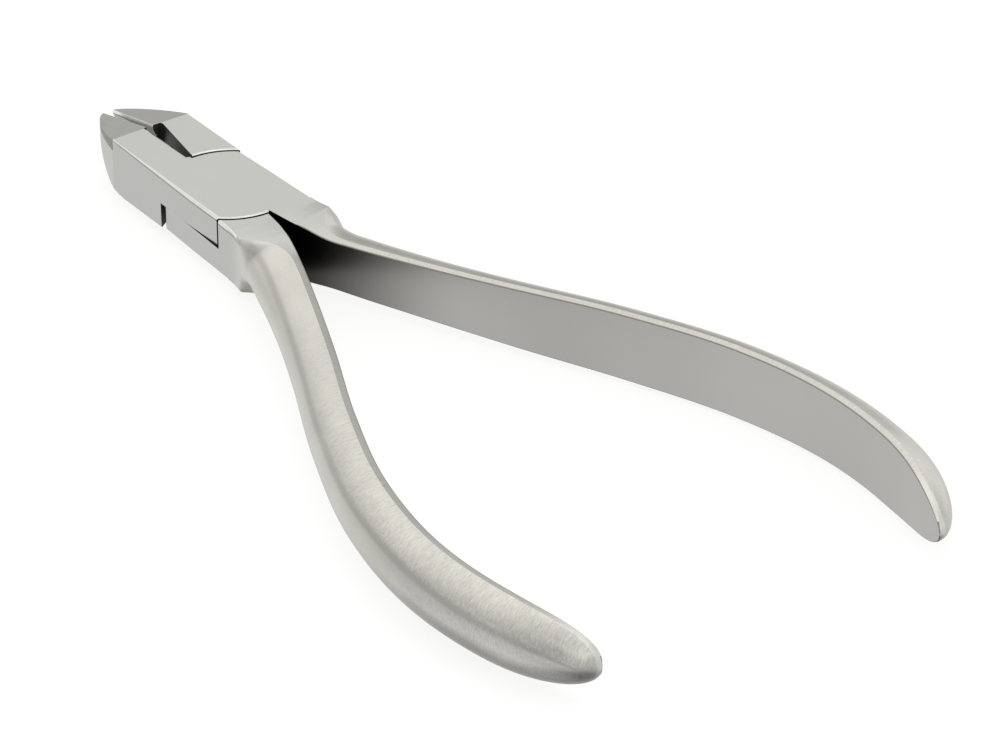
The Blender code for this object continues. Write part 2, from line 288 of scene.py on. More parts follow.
def reachOf(upper):
    return handle["reach"] if upper else handle["reach"] - handle["lowerShortfall"]


def shareOf(x, upper):
    # how much of the handle lies between the joint's arc and x
    return (x - lap["radius"]) / (reachOf(upper) - lap["radius"])


def leanAt(x):
    # 0 where a section still stands square to the head, and 1 where it follows the bow
    return smoothStep((x - lap["radius"]) / root["sideBlend"])


def innerEdge(x, upper):
    # how far the handle's flat inner side stands from the middle plane
    place = shareOf(x, upper)
    spread = handle["spread"] / 2 if upper else -handle["spread"] / 2
    bow = handle["bow"] * bowAt(place)
    return lap["halfGap"] + bow + spread * smoothStep(place / handle["spreadBlend"])


def depthAndLand(x, upper):
    # how deep a section is, and how much of that is the flat strip beside the inner side
    landLeft = 1 - min(max((x - root["landEnd"]) / root["landBlend"], 0.0), 1.0)
    landBlend = 1 - landLeft ** root["landCurve"]
    lean = leanAt(x)
    depth = (halfWidth(x) - innerEdge(x, upper)) * (1 - lean) + depthAt(shareOf(x, upper)) * lean
    return depth, (depth - root["corner"]) * (1 - landBlend) + handle["land"] * landBlend


def handleSection(x, upper):
    # one section, from the lower inner edge round the back to the upper inner edge
    sideBlend = smoothStep((x - root["sideEnd"]) / root["sideBlend"])
    underBlend = smoothStep((x - root["undersideEnd"]) / root["sideBlend"])
    topBlend = smoothStep((x - root["topEnd"]) / root["topBlend"])
    endShare = max((x - reachOf(upper) + handle["endRounding"]) / handle["endRounding"], 0.0)
    bluntness = handle["upperBluntness"] if upper else handle["lowerBluntness"]
    endScale = (1 - endShare ** bluntness) ** (1 / bluntness)
    depth, land = depthAndLand(x, upper)
    height = head["thickness"] * (1 - topBlend) + heightAt(shareOf(x, upper)) * topBlend
    innerUp = height / 2 - topBlend * land * tangent(handle["landSlope"])
    edge = max(handle["edge"] * leanAt(x - root["overlap"]), handle["leastEdge"])
    step = fineness["slopeStep"]
    slope = leanAt(x) * (innerEdge(x + step, upper) - innerEdge(x - step, upper)) / (2 * step)
    acrossX = -slope / math.hypot(1, slope)
    acrossY = 1 / math.hypot(1, slope)
    back = []
    for i in range(-fineness["section"], fineness["section"] + 1):
        blend = sideBlend if i > 0 else underBlend
        power = 2 / (root["squareness"] * (1 - blend) + handle["roundness"] * blend)
        least = math.cos(math.radians(handle["shoulderAngle"])) ** power
        most = math.sin(math.radians(handle["shoulderAngle"])) ** power
        angle = math.radians(handle["shoulderAngle"] * i / fineness["section"])
        up = math.copysign(abs(math.sin(angle)) ** power / most, angle)
        out = (math.cos(angle) ** power - least) / (1 - least)
        out -= handle["ridge"] * blend * abs(up) * (1 - abs(up))
        back.append((land + (depth - land) * out, up * height / 2))
    low, high = (0.0, -innerUp), (0.0, innerUp)
    profile = curvedCorner(high, low, back[0], edge, fineness["edge"]) + back
    profile += curvedCorner(back[-1], high, low, edge, fineness["edge"])
    points = []
    for out, up in profile:
        across = out * endScale
        level = middleLevel + up * endScale
        points.append((x + acrossX * across, innerEdge(x, upper) + acrossY * across, level))
    return points


def handleBlank(upper, mirror):
    start = lap["radius"] + root["setback"]
    reach = reachOf(upper)
    endStart = reach - handle["endRounding"]
    stations = []
    for i in range(fineness["stations"]):
        stations.append(start + (endStart - start) * (i / fineness["stations"]) ** fineness["crowding"])
    for angle in np.radians(np.linspace(0, fineness["endAngle"], fineness["end"])):
        stations.append(endStart + handle["endRounding"] * math.sin(angle))
    return loft("handle", [handleSection(x, upper) for x in stations], mirror)


# the jaws and the joint

# how far the cut-outs between the jaws reach back and in
relief = {
    "upperStart": 8.0, "upperEnd": 11.4, "upperDepth": 0.5, "bevelDrop": 0.3,
    "lowerStart": 8.6, "lowerDepth": 1.25, "lowerCorner": 0.5,
}


def headOutline(upper):
    # the head's plan, from the tip round to the tip
    radius = lap["radius"]
    front = radius if upper else lap["lowerFront"]
    jawSide = [(-tip, -cutting["edgeGap"])] + noseOutline(nose["start"])[::-1] + [(0.0, -halfWidth(0.0))]
    shoulder = arc(radius, -sideAngle(radius, True), math.degrees(lap["halfGap"] / radius))
    rootX = radius + root["overlap"]
    rootSide = [(rootX, innerEdge(rootX, upper)), (rootX, halfWidth(rootX)), (0.0, halfWidth(0.0))]
    frontArc = arc(front, 180 - sideAngle(front, False), 180 - math.degrees(lap["halfGap"] / front))
    if upper:
        inner = [
            (-relief["upperStart"], -relief["upperDepth"]),
            (-relief["upperEnd"], -relief["upperDepth"]),
            (-relief["upperEnd"], -lap["halfGap"]),
        ]
    else:
        slope = relief["lowerDepth"] / (nose["start"] - relief["lowerStart"])
        before = (-nose["start"] + 1, -relief["lowerDepth"] + slope)
        corner = (-nose["start"], -relief["lowerDepth"])
        after = (-nose["start"], 0.0)
        inner = [(-relief["lowerStart"], -lap["halfGap"])]
        inner += curvedCorner(before, corner, after, relief["lowerCorner"], fineness["corner"])
    inner.append((-nose["start"], -lap["halfGap"]))
    return jawSide + shoulder + rootSide + frontArc + inner


def lapCutter(front, low, high, mirror):
    # the space that the other half's lap turns in
    outline = [(-front, cutReach), (0.0, cutReach)] + arc(shoulderRadius, 90, 0)
    outline += [(shoulderRadius, -cutReach), (0.0, -cutReach)] + arc(front, 270, 180)
    return prism("cutter", outline, low, high, mirror)


def flankCutter(mirror):
    # what is ground off below the cutting edge, from the jaw and the insert alike
    sections = []
    for x in (-nose["start"], -tip - cutOver):
        edge = noseTop(x) - cutting["bevelDepth"]
        lean = tangent(cutting["flankSlope"]) * (edge + cutOver)
        sections.append((x, [
            (-cutting["edgeGap"], edge),
            (cutOver, edge),
            (cutOver, -cutOver),
            (-cutting["edgeGap"] - lean, -cutOver),
        ]))
    return wedge(sections, mirror)


def edgeBevelCutter(mirror):
    # the narrow bevel along the top of the cutting edge, wider towards the rear
    sections = []
    above = 3 * cutOver
    for x, width in ((-nose["start"] + cutOver, cutting["bevelRear"]), (-tip, cutting["bevelFront"])):
        edge = noseTop(x) - cutting["bevelDepth"]
        high = edge + cutting["bevelDepth"] + above
        out = width * (1 + above / cutting["bevelDepth"])
        sections.append((x, [(-cutting["edgeGap"], edge), (-out, high), (cutOver, high), (cutOver, edge)]))
    return wedge(sections, mirror)


def chamferCutters(mirror):
    # the head's long edges, broken a little more towards the joint than at the nose
    widths = [
        (-nose["start"], head["chamferNose"]),
        (0.0, head["chamferPivot"]),
        (lap["radius"] + root["overlap"], head["chamferRoot"]),
    ]
    cutters = []
    for side in (-1, 1):
        for level, up in ((0.0, -1), (head["thickness"], 1)):
            sections = []
            for x, width in widths:
                edge = side * halfWidth(x)
                out = edge + side * cutOver
                sections.append((x, [
                    (edge - side * width, level), (edge, level - up * width), (out, level - up * width),
                    (out, level + up * cutOver), (edge - side * width, level + up * cutOver),
                ]))
            cutters.append(wedge(sections, mirror))
    return cutters


def jawCutters(upper, mirror):
    # the insert's seat, the underside's rise to the tip, the flank, and the upper jaw's inner bevel
    rear = -nose["start"]
    front = -tip - cutOver
    top = head["thickness"] + cutOver
    seat = [(rear, seatLevel(rear)), (rear, top), (front, top), (front, seatLevel(front))]
    under = [(-nose["riseStart"], -cutOver)]
    for share in np.linspace(0, 1, fineness["nose"]):
        x = -nose["riseStart"] - (tip - nose["riseStart"]) * share
        under.append((x, nose["rise"] * share ** nose["riseCurve"]))
    under += [(front, nose["rise"]), (front, -cutOver)]
    cutters = [sideProfile(seat), sideProfile(under), flankCutter(mirror)]
    if upper:
        lean = (relief["upperDepth"] - lap["halfGap"]) / relief["bevelDrop"]
        low = head["thickness"] - relief["bevelDrop"]
        section = [
            (-lap["halfGap"], low),
            (-relief["upperDepth"] - lean * cutOver, top),
            (cutOver, top),
            (cutOver, low),
        ]
        cutters.append(wedge([(-relief["upperEnd"], section), (rear - cutOver, section)], mirror))
    return cutters


bore = {"radius": 2.6, "cover": 1.1, "sinkRadius": 3.4, "sinkDepth": 1.3, "running": 0.05, "press": 0.02}


def boreCutter(upper):
    # a blind bore in the upper half, and a stepped bore through the lower half for the pin's head
    if upper:
        radius = bore["radius"] + bore["press"]
        return turned([(radius, -cutOver), (radius, head["thickness"] - bore["cover"])])
    radius = bore["radius"] + bore["running"]
    sink = bore["sinkRadius"] + bore["running"]
    floor = bore["sinkDepth"] + bore["running"]
    return turned([(sink, -cutOver), (sink, floor), (radius, floor), (radius, head["thickness"] + cutOver)])


# how far the joint's edges are broken, and how many degrees those cuts run past their arcs
brokenEdge = {
    "rim": 0.14, "easing": 0.3, "sideRun": 4.0, "frontRun": 6.0, "seamRun": 0.5,
    "cornerOnSide": 0.6, "cornerOnArc": 0.48, "cornerClear": (-1.5, 0.6),
}


def cornerCutter(low, high, mirror):
    # blunts the sharp upright corner where the shoulder's arc meets the root's side
    angle = math.radians(sideAngle(shoulderRadius, True))
    corner = shoulderRadius * np.array([math.cos(angle), math.sin(angle)])
    onSide = corner + brokenEdge["cornerOnSide"] * np.array([1.0, 0.0])
    onArc = corner + brokenEdge["cornerOnArc"] * np.array([math.sin(angle), -math.cos(angle)])
    across = onSide - onArc
    outline = [onSide + 2 * across, onArc - across / 2, corner + np.array(brokenEdge["cornerClear"])]
    return prism("cutter", outline, low, high, mirror)


def rimCutter(radius, start, end, outward, size, mirror):
    # the broken top edge of an arc of the joint, on the side that outward points to
    top = head["thickness"]
    sections = []
    for angle in np.radians(np.linspace(start, end, fineness["arc"])):
        ring = [
            (radius - outward * (size + rimOver), top + rimOver),
            (radius + outward * rimOver, top + rimOver),
            (radius + outward * rimOver, top - size - rimOver),
        ]
        sections.append([(r * math.cos(angle), r * math.sin(angle), z) for r, z in ring])
    return loft("cutter", sections, mirror)


def rimCutters(upper, mirror):
    # the upper half's shoulder and front, or the edges that they turn against on the lower half
    cut = brokenEdge
    if upper:
        radius = lap["radius"]
        rim = (-sideAngle(radius, True) - cut["sideRun"], -cut["seamRun"])
        easing = (180 - cut["sideRun"] - sideAngle(radius, False), 180 + cut["seamRun"])
    else:
        radius = shoulderRadius
        rim = (180, 180 + cut["frontRun"] + sideAngle(radius, False))
        easing = (cut["seamRun"], sideAngle(radius, True) + cut["sideRun"])
    outward = 1 if upper else -1
    return [
        rimCutter(radius, *rim, outward, cut["rim"], mirror),
        rimCutter(radius, *easing, outward, cut["easing"], mirror),
    ]


def toRest(thing, upper):
    # from the closed position to where the half rests
    joinPoints(thing)
    turn = lap["restOpening"] / 2 if upper else -lap["restOpening"] / 2
    thing.data.transform(Matrix.Rotation(math.radians(turn), 4, "Z"))
    thing.data.shade_smooth()
    thing.data.set_sharp_from_angle(angle=math.radians(fineness["sharpAngle"]))


def buildHalf(name, upper, mirror):
    half = prism(name, headOutline(upper), 0.0, head["thickness"], mirror)
    if upper:
        front, low, high = slotRadius, -cutReach, lapLevel + lap["faceGap"] / 2
    else:
        front, low, high = shoulderRadius, lapLevel - lap["faceGap"] / 2, cutReach
    cutters = chamferCutters(mirror) + [lapCutter(front, low, high, mirror)]
    cutters += jawCutters(upper, mirror) + [boreCutter(upper)] + rimCutters(upper, mirror)
    carve(half, cutters)
    carve(half, [handleBlank(upper, mirror)], "UNION")
    carve(half, [cornerCutter(low, high, mirror)])
    half.data.name = name
    return half


def buildInsert(name, mirror):
    rear = nose["start"] + cutting["brazeGap"]
    outline = noseOutline(rear) + [(-tip, -cutting["edgeGap"]), (-rear, -cutting["edgeGap"])]
    insert = prism(name, outline, 0.0, head["thickness"], mirror)
    lift = cutting["braze"] + 2 * cutting["brazeGap"]
    front, back = -tip - cutOver, cutOver
    bottom, top = -cutOver, 2 * head["thickness"]
    seatBack, seatFront = seatLevel(back) + lift, seatLevel(front) + lift
    below = [(back, seatBack), (back, bottom), (front, bottom), (front, seatFront)]
    above = [(back, noseTop(back)), (back, top), (front, top), (front, noseTop(front))]
    carve(insert, [sideProfile(below), sideProfile(above), flankCutter(mirror), edgeBevelCutter(mirror)])
    return insert


# the surfaces: where each kind of finish lies, and which way the handles were brushed

def faceData(mesh, mirror):
    # the faces' middles and the ways they face, each as x, y and z as they were drawn
    places = np.empty(len(mesh.polygons) * 3)
    ways = np.empty(len(mesh.polygons) * 3)
    mesh.polygons.foreach_get("center", places)
    mesh.polygons.foreach_get("normal", ways)
    flip = np.array([1, mirror, 1])
    return (places.reshape(-1, 3) / mm * flip).T, (ways.reshape(-1, 3) * flip).T


def handlePlace(x, y, upper):
    # where places in plan lie on the handle: how far along it, how far out from its inner side, and
    # how wide the flat strip is there
    stations = np.linspace(lap["radius"], reachOf(upper), fineness["rows"])
    edges = np.array([innerEdge(station, upper) for station in stations])
    lands = np.array([depthAndLand(station, upper)[1] for station in stations])
    slopes = np.gradient(edges, stations) * leanAt(stations)
    along = x.copy()
    for _ in range(fineness["rounds"]):
        along = x + np.interp(along, stations, slopes) * (y - np.interp(along, stations, edges))
    across = (y - np.interp(along, stations, edges)) * np.hypot(1, np.interp(along, stations, slopes))
    return along, across, np.interp(along, stations, lands)


def markGrain(mesh, upper, mirror):
    # each point gets its distance along the handle, round its back and out from its inner side
    points = np.empty(len(mesh.vertices) * 3)
    mesh.vertices.foreach_get("co", points)
    x, y, z = (points.reshape(-1, 3) / mm * np.array([1, mirror, 1])).T
    along, across, _ = handlePlace(x, y, upper)
    around = np.arctan2(z - middleLevel, across - depthAt(0.5) / 2) * heightAt(0.5) / 2
    grain = mesh.attributes.new("grain", "FLOAT_VECTOR", "POINT")
    grain.data.foreach_set("vector", np.stack([along, around, across], 1).astype(np.float32).ravel())


# what counts as being at a place or facing a way: distances, and parts of a face's normal
marking = {
    "near": 0.1, "by": 0.2, "atArc": 0.4, "atRim": 0.5, "rimDepth": 0.4, "boreCover": 0.5,
    "innerFrom": 0.3, "jawEdge": 0.6, "longEdge": 0.75, "pastLand": 0.01,
    "upright": 0.3, "level": 0.9, "slanted": 0.93, "radial": 0.9, "inward": 0.75, "rounded": 0.12,
    "bevel": 0.2, "top": 0.8,
}


def markHalf(half, upper, mirror):
    # slot 0 is the outside, 1 the handle's inner side, 2 the cut-outs, 3 the ground edges, 4 the lap
    # and 5 the rounded edges of the inner side
    mesh = half.data
    markGrain(mesh, upper, mirror)
    (x, y, z), (wayX, wayY, wayZ) = faceData(mesh, mirror)
    near, by = marking["near"], marking["by"]
    noseStart = -nose["start"] - near
    radius = np.hypot(x, y)
    fromArc = np.abs(radius - shoulderRadius)
    steep = np.abs(wayZ)
    upright = steep < marking["upright"]
    radial = np.abs(x * wayX + y * wayY) > marking["radial"] * radius
    lapFace = (steep > marking["level"]) & (np.abs(z - lapLevel) < near) & (radius < slotRadius + by)
    lapArc = upright & radial & (fromArc < marking["atArc"])
    boreLevel = (z < head["thickness"] - marking["boreCover"]) & (z > near)
    boreWall = (radius < bore["sinkRadius"] + by) & boreLevel
    cutOut = upright & (x < -lap["radius"]) & (x > noseStart) & (y > -relief["lowerDepth"] - by)
    lapWall = lapFace | lapArc | boreWall
    gap = lapWall | cutOut
    inner = upright & (x > lap["radius"] + marking["innerFrom"]) & (wayY < -marking["inward"]) & ~gap
    slanted = (steep > marking["upright"]) & (steep < marking["slanted"])
    onSide = np.abs(y) > head["halfWidth"] * marking["longEdge"]
    longEdge = (x > noseStart) & (x < root["sideEnd"]) & onSide
    rim = (fromArc < marking["atRim"]) & (z > head["thickness"] - marking["rimDepth"])
    jawEdge = (x < -relief["upperEnd"]) & (x > noseStart) & (y > -marking["jawEdge"]) & (wayZ > 0)
    ground = slanted & (longEdge | rim | jawEdge)
    along, across, land = handlePlace(x, y, upper)
    onInnerEdge = (x > root["landEnd"]) & (across < handle["edge"])
    rounded = onInnerEdge & (steep > marking["rounded"]) & ~inner
    slots = np.select([lapWall, gap, inner, ground, rounded], [4, 2, 1, 3, 5], 0).astype(np.int32)
    mesh.polygons.foreach_set("material_index", slots)
    onBack = (x > lap["radius"] + root["overlap"]) & (across > land + marking["pastLand"])
    back = mesh.attributes.new("back", "FLOAT", "FACE")
    back.data.foreach_set("value", onBack.astype(np.float32))


def markInsert(insert, mirror):
    # slot 0 is the top, slot 1 the sides and slot 2 the bevel along the cutting edge
    _, (wayX, wayY, wayZ) = faceData(insert.data, mirror)
    bevel = (wayY > marking["bevel"]) & (wayZ > marking["bevel"])
    slots = np.where(bevel, 2, np.where(wayZ > marking["top"], 0, 1)).astype(np.int32)
    insert.data.polygons.foreach_set("material_index", slots)


# shader graphs: sums on a Wire add Math nodes, and every other node comes from Wire.node

class Wire:
    def __init__(self, tree, socket=None):
        self.tree = tree
        self.socket = socket

    def node(self, kind, settings, sockets, output=0):
        made = self.tree.nodes.new("ShaderNode" + kind)
        for name, value in settings.items():
            if name == "stops":
                ramp = made.color_ramp
                while len(ramp.elements) < len(value):
                    ramp.elements.new(0.5)
                for element, (place, shade) in zip(ramp.elements, value):
                    element.position = place
                    element.color = (*shade, 1.0)
            else:
                setattr(made, name, value)
        for name, value in sockets.items():
            if isinstance(value, Wire):
                self.tree.links.new(value.socket, made.inputs[name])
            else:
                made.inputs[name].default_value = value
        return Wire(self.tree, made.outputs[output] if made.outputs else None)

    def maths(self, operation, *values):
        return self.node("Math", {"operation": operation}, dict(enumerate(values)))

    def __add__(self, other):
        return self.maths("ADD", self, other)

    def __radd__(self, other):
        return self.maths("ADD", other, self)

    def __sub__(self, other):
        return self.maths("SUBTRACT", self, other)

    def __rsub__(self, other):
        return self.maths("SUBTRACT", other, self)

    def __mul__(self, other):
        return self.maths("MULTIPLY", self, other)

    def __rmul__(self, other):
        return self.maths("MULTIPLY", other, self)

    def clamped(self, low=0.0, high=1.0):
        return self.maths("MINIMUM", self.maths("MAXIMUM", self, low), high)

    def ranged(self, low, high, first=0.0, last=1.0):
        # a smooth change from first to last as the value goes from low to high
        return self.node("MapRange", {"interpolation_type": "SMOOTHSTEP"}, {
            "Value": self, "From Min": low, "From Max": high, "To Min": first, "To Max": last,
        })

    def swing(self, depth):
        # a texture from 0 to 1 as a change down and up
        return (self - 0.5) * depth

    def shade(self, first, second):
        # a colour between two colours
        return self.node("Mix", {"data_type": "RGBA"}, {"Factor": self, 6: first, 7: second}, 2)

    def stretched(self, x, y, z):
        # a vector with each direction scaled by itself
        return self.node("VectorMath", {"operation": "MULTIPLY"}, {0: self, 1: (x, y, z)})

    def dot(self, other):
        return self.node("VectorMath", {"operation": "DOT_PRODUCT"}, {0: self, 1: other}, 1)

    def noise(self, scale, detail=2.0, roughness=0.5):
        return self.node("TexNoise", {}, {
            "Vector": self, "Scale": scale, "Detail": detail, "Roughness": roughness,
        })


def rgba(colour, share=1.0):
    # a colour as a socket takes it, made lighter or darker by a share
    return (*[part * share for part in colour], 1.0)


def newMaterial(name):
    made = bpy.data.materials.new(name)
    made.use_nodes = True
    made.node_tree.nodes.clear()
    return made, Wire(made.node_tree)


def closeMaterial(made, wire, sockets):
    shader = wire.node("BsdfPrincipled", {}, sockets)
    wire.node("OutputMaterial", {}, {"Surface": shader})
    return made


edgeTurn = {"samples": 6, "from": 0.01, "to": 0.12}


def edgeParts(wire, radius):
    # a normal that is rounded over the edges, and how sharply the surface turns there
    soft = wire.node("Bevel", {"samples": edgeTurn["samples"]}, {"Radius": radius * mm})
    flat = wire.node("NewGeometry", {}, {}, 1)
    turn = (1 - soft.dot(flat)).ranged(edgeTurn["from"], edgeTurn["to"])
    return soft, turn


outsideLook = {
    # edge is the colour of the painted highlights on the edges and on the land round the end
    "head": (0.585, 0.59, 0.575), "handle": (0.67, 0.66, 0.62), "edge": (0.86, 0.86, 0.83),
    "darker": 0.72, "lighter": 1.28, "roughness": 0.25, "handleRoughness": 0.24, "edgeRadius": 0.07,
    # from where to where each of these comes in along the handle
    "handleFrom": (10.5, 13.5), "backFrom": (10.0, 11.0), "stripFrom": (13.0, 23.0),
    "brushFrom": (14.0, 75.0), "lowBrushFrom": (70.0, 90.0), "liftUntil": (70.0, 95.0),
    "dimFrom": (55.0, 76.0), "dimUntil": (84.0, 93.0), "shadeUntil": (64.0, 90.0),
    "endFrom": (93.0, 99.0),
    # the bands round the handle: where they lie, and how dark the painted shade on the ridge and the lower
    # band is
    "upperBand": (2.8, 4.0), "lift": 0.85, "ridge": 3.25, "ridgeWidth": (0.1, 1.1),
    "ridgePaintedShade": 0.38, "lowBandPaintedShade": 0.24, "dimFade": 1.3,
    # how much of the handle's finish, brush and painted shade the places beside the back get, and how
    # strong the painted highlights on the edges and at the end are
    "stripFinish": 0.75, "stripBrush": 0.7, "lowBrush": 0.7, "leastBrush": 0.15, "shadeFade": 0.8,
    "leastEdgeHighlight": 0.3, "cloudEdgeHighlight": 0.5, "endHighlight": 0.8,
    # how deep each texture goes in the tone and in the roughness
    "streakTone": 1.1, "scratchTone": 1.0, "cloudTone": 0.16, "gritTone": 0.22, "patchTone": 0.3,
    "streakRough": 0.16, "patchRough": 0.08, "cloudRough": 0.08, "gritRough": 0.05, "highlightRough": 0.06,
    "roughLimits": (0.12, 0.8),
    # the textures' scales, which for those on the grain are along it, round the back and outwards
    "streaks": (7.0, 0.8, 0.3), "scratches": (11.0, 1.6, 0.5), "patches": (0.22, 0.3, 0.2),
    "cloud": 230.0, "grit": 7000.0, "bumpStrength": 0.35, "bumpDistance": 0.05,
}

# the painted shade line on the head's sides: how dark it is, and where it starts and ends below the ground
# edge
paintedShadeLine = {
    "shade": 0.5, "start": (-0.02, 0.04), "end": (0.10, 0.24),
    "upright": (0.2, 0.5), "noseStart": (-0.5, 2.0),
}


def paintedShadeLineMask(wire, place):
    # the painted shade line lies just under the ground edge, which widens towards the joint
    x = wire.node("SeparateXYZ", {}, {0: place}, 0) * (1 / mm)
    z = wire.node("SeparateXYZ", {}, {0: place}, 2) * (1 / mm)
    steep = wire.node("SeparateXYZ", {}, {0: wire.node("NewGeometry", {}, {}, 3)}, 2)
    growth = (head["chamferPivot"] - head["chamferNose"]) / nose["start"]
    edge = wire.maths("MINIMUM", x * growth + head["chamferPivot"], head["chamferRoot"])
    depth = (head["thickness"] - z) - edge
    line = depth.ranged(*paintedShadeLine["start"]) * (1 - depth.ranged(*paintedShadeLine["end"]))
    onWall = 1 - wire.maths("ABSOLUTE", steep).ranged(*paintedShadeLine["upright"])
    return line * onWall * (x + nose["start"]).ranged(*paintedShadeLine["noseStart"])


def outsideSteel(name, look):
    # satin on the head, and a fine crosswise brush on the handles
    made, wire = newMaterial(name)
    place = wire.node("TexCoord", {}, {}, 3)
    grain = wire.node("Attribute", {"attribute_name": "grain"}, {}, 1)
    along = wire.node("SeparateXYZ", {}, {0: grain}, 0)
    around = wire.node("SeparateXYZ", {}, {0: grain}, 1)
    back = wire.node("Attribute", {"attribute_name": "back"}, {}, 2)
    lifted = around - (1 - along.ranged(*look["liftUntil"])) * look["lift"]
    upperBand = lifted.ranged(*look["upperBand"])
    soon = upperBand * along.ranged(*look["backFrom"])
    strip = (1 - back) * along.ranged(*look["stripFrom"])
    backFinish = wire.maths("MAXIMUM", along.ranged(*look["handleFrom"]), soon)
    onHandle = back * backFinish + strip * look["stripFinish"]
    lowBrush = along.ranged(*look["lowBrushFrom"]) * look["lowBrush"]
    growing = along.ranged(*look["brushFrom"], look["leastBrush"], 1.0) * look["brushing"]
    brushed = back * onHandle * wire.maths("MAXIMUM", upperBand, lowBrush) * growing
    brushed = brushed + strip * look["stripBrush"]
    streaks = grain.stretched(*look["streaks"]).noise(1.0, 3.0, 0.6)
    scratches = grain.stretched(*look["scratches"]).noise(1.0, 2.0, 0.5)
    patches = grain.stretched(*look["patches"]).noise(1.0, 2.0, 0.5)
    cloud = place.noise(look["cloud"], 3.0, 0.5)
    grit = place.noise(look["grit"], 2.0, 0.6)
    soft, turn = edgeParts(wire, look["edgeRadius"])

    # how light each place is, from 0 to 1, with painted shade along the ridge and the lower band
    brush = streaks.swing(look["streakTone"]) + scratches.swing(look["scratchTone"])
    # painted shade along the ridge and on the lower band of the handle's back
    ridge = 1 - wire.maths("ABSOLUTE", lifted - look["ridge"]).ranged(*look["ridgeWidth"])
    dimEnd = along.ranged(*look["dimUntil"]) * look["dimFade"]
    lowBandShadeMask = (1 - upperBand) * (along.ranged(*look["dimFrom"]) - dimEnd)
    paintedBandShade = ridge * look["ridgePaintedShade"] + lowBandShadeMask * look["lowBandPaintedShade"]
    satin = cloud.swing(look["cloudTone"]) + grit.swing(look["gritTone"])
    satin = satin + onHandle * (patches.swing(look["patchTone"]) - paintedBandShade)
    tone = (0.5 + brushed * brush + satin).clamped()

    # the colour, with painted shade on the strip, painted highlights on the edges and the end, and the
    # painted shade line under the ground edge
    plain = onHandle.shade(rgba(look["head"]), rgba(look["handle"]))
    dark = onHandle.shade(rgba(look["head"], look["darker"]), rgba(look["handle"], look["darker"]))
    light = onHandle.shade(rgba(look["head"], look["lighter"]), rgba(look["handle"], look["lighter"]))
    lower = (tone * 2.0).clamped().shade(dark, plain)
    colour = (tone * 2.0 - 1.0).clamped().shade(lower, light)
    # painted shade: the strip beside the inner side is darkened, more on the lower half
    paintedStripShadeMask = strip * (1 - along.ranged(*look["shadeUntil"]) * look["shadeFade"])
    colour = wire.node("Mix", {"data_type": "RGBA", "blend_type": "MULTIPLY"}, {
        "Factor": paintedStripShadeMask, 6: colour, 7: rgba((1, 1, 1), look["paintedStripShade"]),
    }, 2)
    # painted highlight: the land round the handle's end is lightened towards the edge colour
    endLandHighlight = (1 - back) * along.ranged(*look["endFrom"])
    # painted highlight along the edges, where the rounded normal turns from the surface's own
    paintedEdgeHighlight = turn * (look["leastEdgeHighlight"] + look["cloudEdgeHighlight"] * cloud)
    paintedHighlight = wire.maths("MAXIMUM", paintedEdgeHighlight, endLandHighlight * look["endHighlight"])
    colour = paintedHighlight.shade(colour, rgba(look["edge"]))
    # painted shade line under the ground edge on the head's sides
    paintedLineMask = paintedShadeLineMask(wire, place) * (1 - onHandle)
    colour = paintedLineMask.shade(colour, rgba(look["head"], paintedShadeLine["shade"]))

    satinRough = look["roughness"] + cloud.swing(look["cloudRough"]) + grit.swing(look["gritRough"])
    brushRough = look["handleRoughness"] + brushed * streaks.swing(look["streakRough"])
    brushRough = brushRough + patches.swing(look["patchRough"])
    rough = onHandle * brushRough + (1 - onHandle) * satinRough - paintedHighlight * look["highlightRough"]
    height = brushed * (streaks * 0.6 + scratches * 0.4) + (1 - brushed) * grit * 0.25
    bump = wire.node("Bump", {}, {
        "Strength": look["bumpStrength"], "Distance": look["bumpDistance"] * mm,
        "Height": height, "Normal": soft,
    })
    return closeMaterial(made, wire, {
        "Base Color": colour, "Metallic": 1.0, "Normal": bump,
        "Roughness": rough.clamped(*look["roughLimits"]),
    })


innerLook = {
    "colour": (0.63, 0.615, 0.59), "darker": 0.86, "lighter": 1.12, "roughness": 0.36, "edgeRadius": 0.10,
    "paintedJointShade": (0.012, 0.012, 0.011), "paintedShadeUntil": (11.0, 34.0),
    "farShade": 0.8, "farFrom": (62.0, 84.0), "farShare": 0.5,
    "cloud": 150.0, "fine": 1500.0, "smear": (60.0, 60.0, 400.0),
    "cloudTone": 0.35, "fineTone": 0.10, "smearTone": 0.12, "cloudRough": 0.14, "fineRough": 0.06,
    "roughLimits": (0.15, 0.8), "bumpStrength": 0.3, "bumpDistance": 0.02,
}


